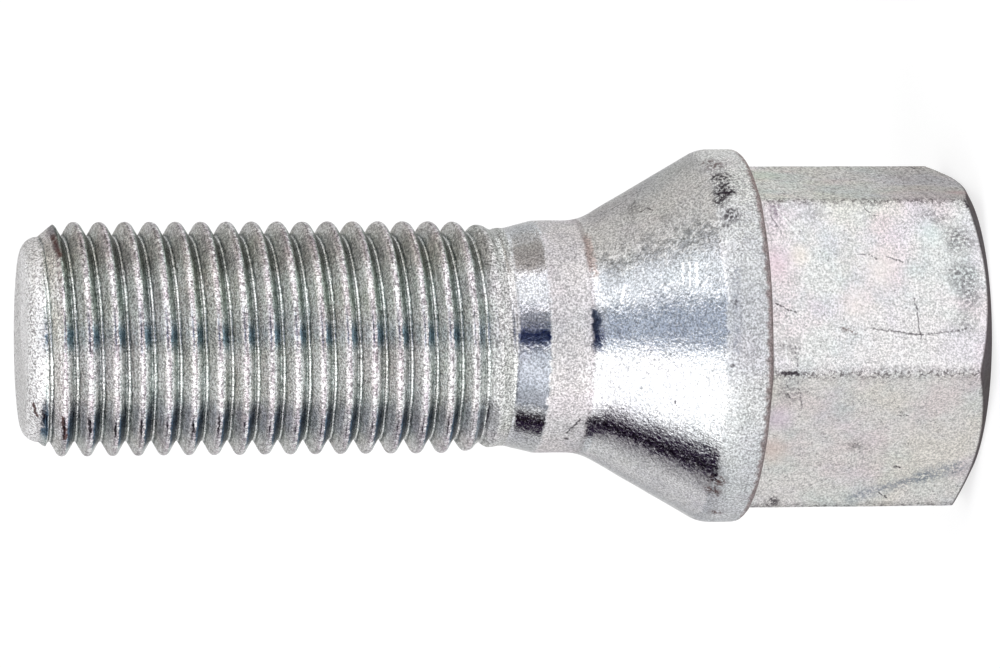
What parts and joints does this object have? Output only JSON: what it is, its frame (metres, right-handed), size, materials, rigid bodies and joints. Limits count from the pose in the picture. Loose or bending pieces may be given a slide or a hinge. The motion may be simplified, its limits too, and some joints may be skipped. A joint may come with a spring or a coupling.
{
  "type": "wheel bolt",
  "caption": "One-piece wheel bolt with a conical seat, a round collar, a hexagon head and a long shank with a right-hand thread.",
  "frame": {"origin": "centre of the flat end face of the hexagon head, on which the bolt stands", "axes": "+Z along the bolt's axis, from the head to the threaded tip; +X through a corner of the hexagon"},
  "size_m": [0.0222, 0.0222, 0.0562],
  "materials": {
    "zinc_plated_steel": "bright zinc plate, satin with glossy bands"
  },
  "bodies": {
    "root": {"wheel_bolt": "zinc_plated_steel"}
  },
  "joints": []
}
